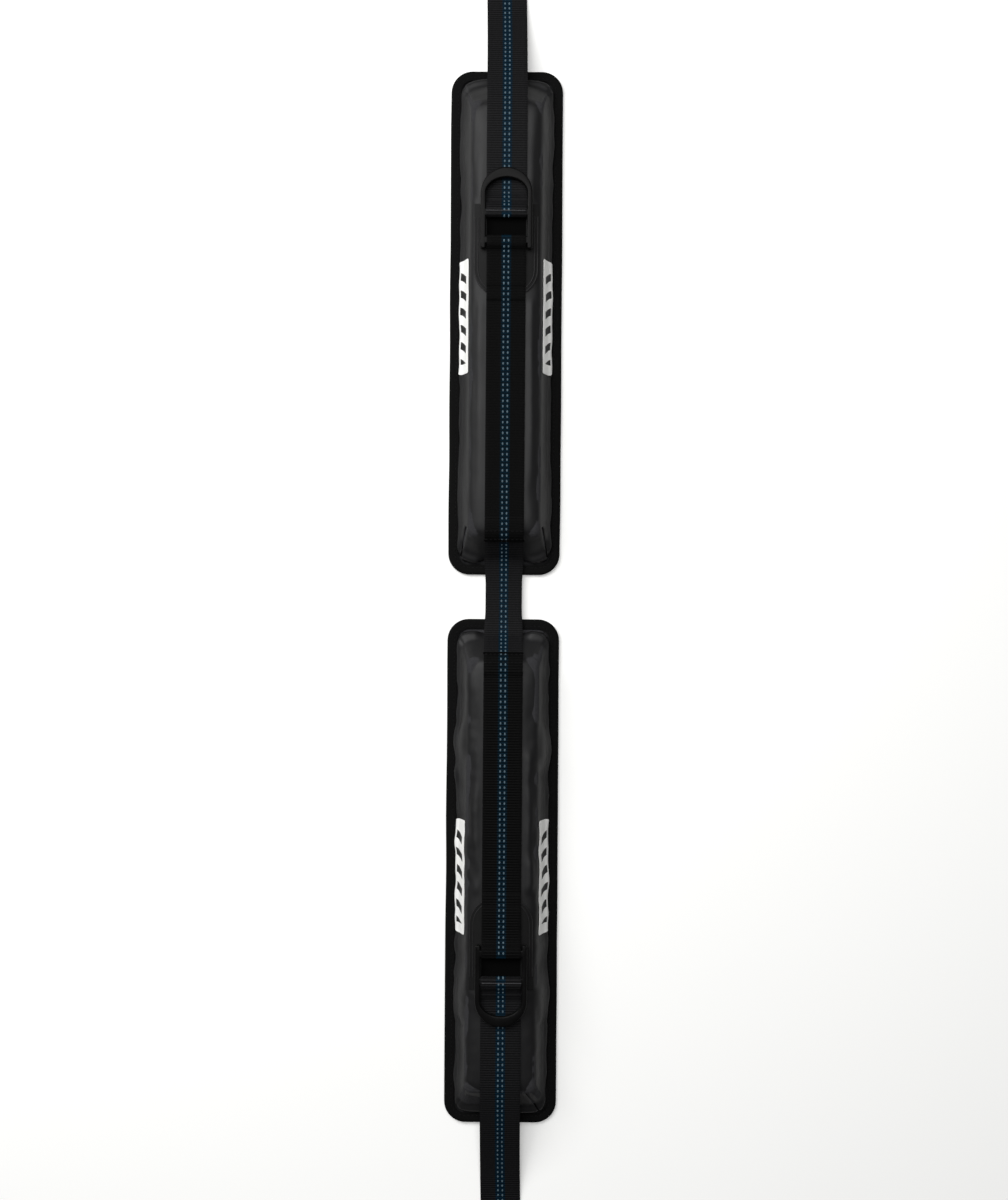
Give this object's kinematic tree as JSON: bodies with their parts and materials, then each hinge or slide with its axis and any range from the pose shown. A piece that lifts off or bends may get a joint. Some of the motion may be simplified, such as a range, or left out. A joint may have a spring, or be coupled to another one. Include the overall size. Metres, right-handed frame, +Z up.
{
  "type": "soft roof rack",
  "caption": "Soft roof rack: two long foam pads in line, joined by webbing across a gap, each with a webbing-held tie-down ring and a lashing strap that runs out past its end",
  "frame": {"origin": "middle of the gap between the two pads, on the plane that the pads lie on", "axes": "+Y runs along the rack from pad B to pad A, +X across it to the right, +Z up out of the roof"},
  "size_m": [0.111, 1.3166, 0.0499],
  "materials": {
    "foam": "closed-cell foam",
    "coated_fabric": "satin coated canvas",
    "patch_fabric": "satin coated canvas",
    "grip_sheet": "matt non-slip sheet",
    "binding_tape": "woven tape",
    "ribbed_webbing": "ribbed polypropylene webbing",
    "strap_webbing": "woven polyester webbing",
    "ring_nylon": "moulded nylon",
    "label_print": "white printed patch"
  },
  "bodies": {
    "root": {"pad_a_foam_core": "foam", "pad_a_top_cover": "coated_fabric", "pad_a_base_panel": "grip_sheet", "pad_a_edge_binding": "binding_tape", "pad_a_ring_patch": "patch_fabric", "pad_a_ring_webbing": "ribbed_webbing", "pad_a_tie_down_ring": "ring_nylon", "pad_a_outer_strap": "strap_webbing", "pad_a_left_label": "label_print", "pad_a_right_label": "label_print", "pad_b_foam_core": "foam", "pad_b_top_cover": "coated_fabric", "pad_b_base_panel": "grip_sheet", "pad_b_edge_binding": "binding_tape", "pad_b_ring_patch": "patch_fabric", "pad_b_ring_webbing": "ribbed_webbing", "pad_b_tie_down_ring": "ring_nylon", "pad_b_outer_strap": "strap_webbing", "pad_b_left_label": "label_print", "pad_b_right_label": "label_print", "connector_webbing": "strap_webbing"}
  },
  "joints": []
}
